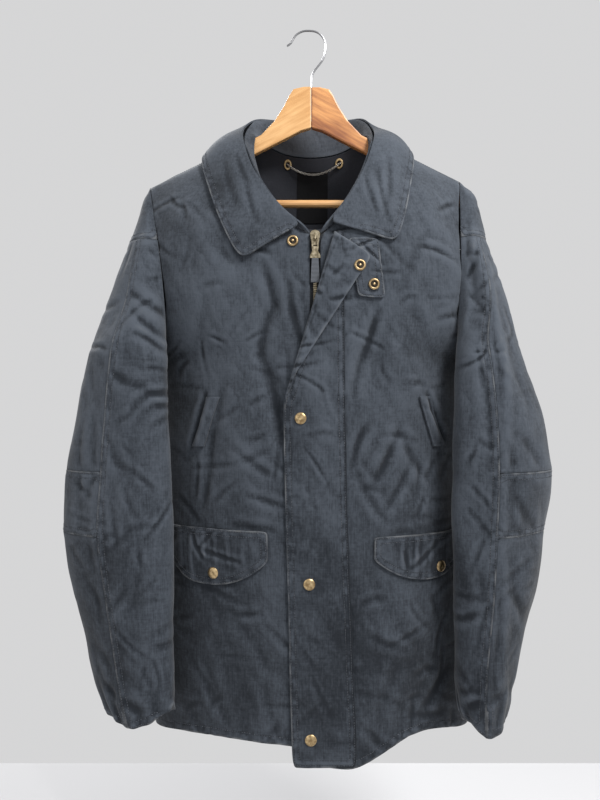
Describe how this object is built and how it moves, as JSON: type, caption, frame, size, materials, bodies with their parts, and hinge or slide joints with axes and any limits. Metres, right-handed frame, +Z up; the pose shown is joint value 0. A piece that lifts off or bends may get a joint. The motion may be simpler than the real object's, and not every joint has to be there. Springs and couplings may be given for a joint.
{
  "type": "field jacket on a wooden hanger",
  "caption": "Woven cotton field jacket with turned-down collar, zip under a snapped storm flap and flapped pockets, hanging on a wooden hanger by its wire hook.",
  "frame": {"origin": "inside top of the hanger's hook, where it rests on what it hangs from", "axes": "+Z up along the hanging garment, -Y out of its front, +X to the right of someone who faces its front"},
  "size_m": [0.659, 0.2, 0.9915],
  "materials": {
    "outer_cotton": "dark slate-navy slubby woven cotton, worn paler along seams and edges",
    "lining_cloth": "darker smooth lining inside the garment",
    "facing_cotton": "brownish grey back face of the folded storm flap",
    "stitching": "dark sewing thread",
    "brass": "aged satin brass",
    "zip_tape": "dark woven zip tape",
    "pull_grip": "ribbed grey-blue grip",
    "label_cloth": "plain black woven label",
    "light_wood": "pale varnished beech",
    "dark_wood": "more orange varnished beech with dark grain",
    "hook_wire": "bright steel wire"
  },
  "bodies": {
    "jacket_and_hanger": {"back": "outer_cotton", "front_left": "outer_cotton", "front_right": "outer_cotton", "collar_stand": "outer_cotton", "collar_fall": "outer_cotton", "storm_flap": "outer_cotton", "throat_tab": "outer_cotton", "pocket_flap_left": "outer_cotton", "pocket_flap_right": "outer_cotton", "welt_left": "outer_cotton", "welt_right": "outer_cotton", "sleeve_cap_left": "outer_cotton", "sleeve_top_left": "outer_cotton", "sleeve_under_left": "outer_cotton", "sleeve_elbow_left": "outer_cotton", "sleeve_lower_left": "outer_cotton", "sleeve_cap_right": "outer_cotton", "sleeve_top_right": "outer_cotton", "sleeve_under_right": "outer_cotton", "sleeve_elbow_right": "outer_cotton", "sleeve_lower_right": "outer_cotton", "snap_cap_top": "brass", "snap_cap_middle": "brass", "snap_cap_bottom": "brass", "snap_cap_pocket_left": "brass", "snap_cap_pocket_right": "brass", "snap_ring_front": "brass", "snap_ring_storm_flap": "brass", "snap_ring_throat_tab": "brass", "zip_teeth": "brass", "zip_slider": "brass", "eyelet_left": "brass", "eyelet_right": "brass", "hanging_chain": "brass", "zip_tape_left": "zip_tape", "zip_tape_right": "zip_tape", "label": "label_cloth", "hanger_arm_left": "light_wood", "hanger_bar": "light_wood", "hanger_arm_right": "dark_wood", "hanger_hook": "hook_wire"},
    "zip_pull": {"zip_pull_tab": "brass", "zip_pull_grip": "pull_grip"}
  },
  "joints": [
    {"name": "zip_pull_swing", "type": "hinge", "parent": "jacket_and_hanger", "child": "zip_pull", "pos_m": [0.0035, -0.0867, -0.309], "axis": [-1, 0, 0], "range_deg": [0, 150]}
  ]
}
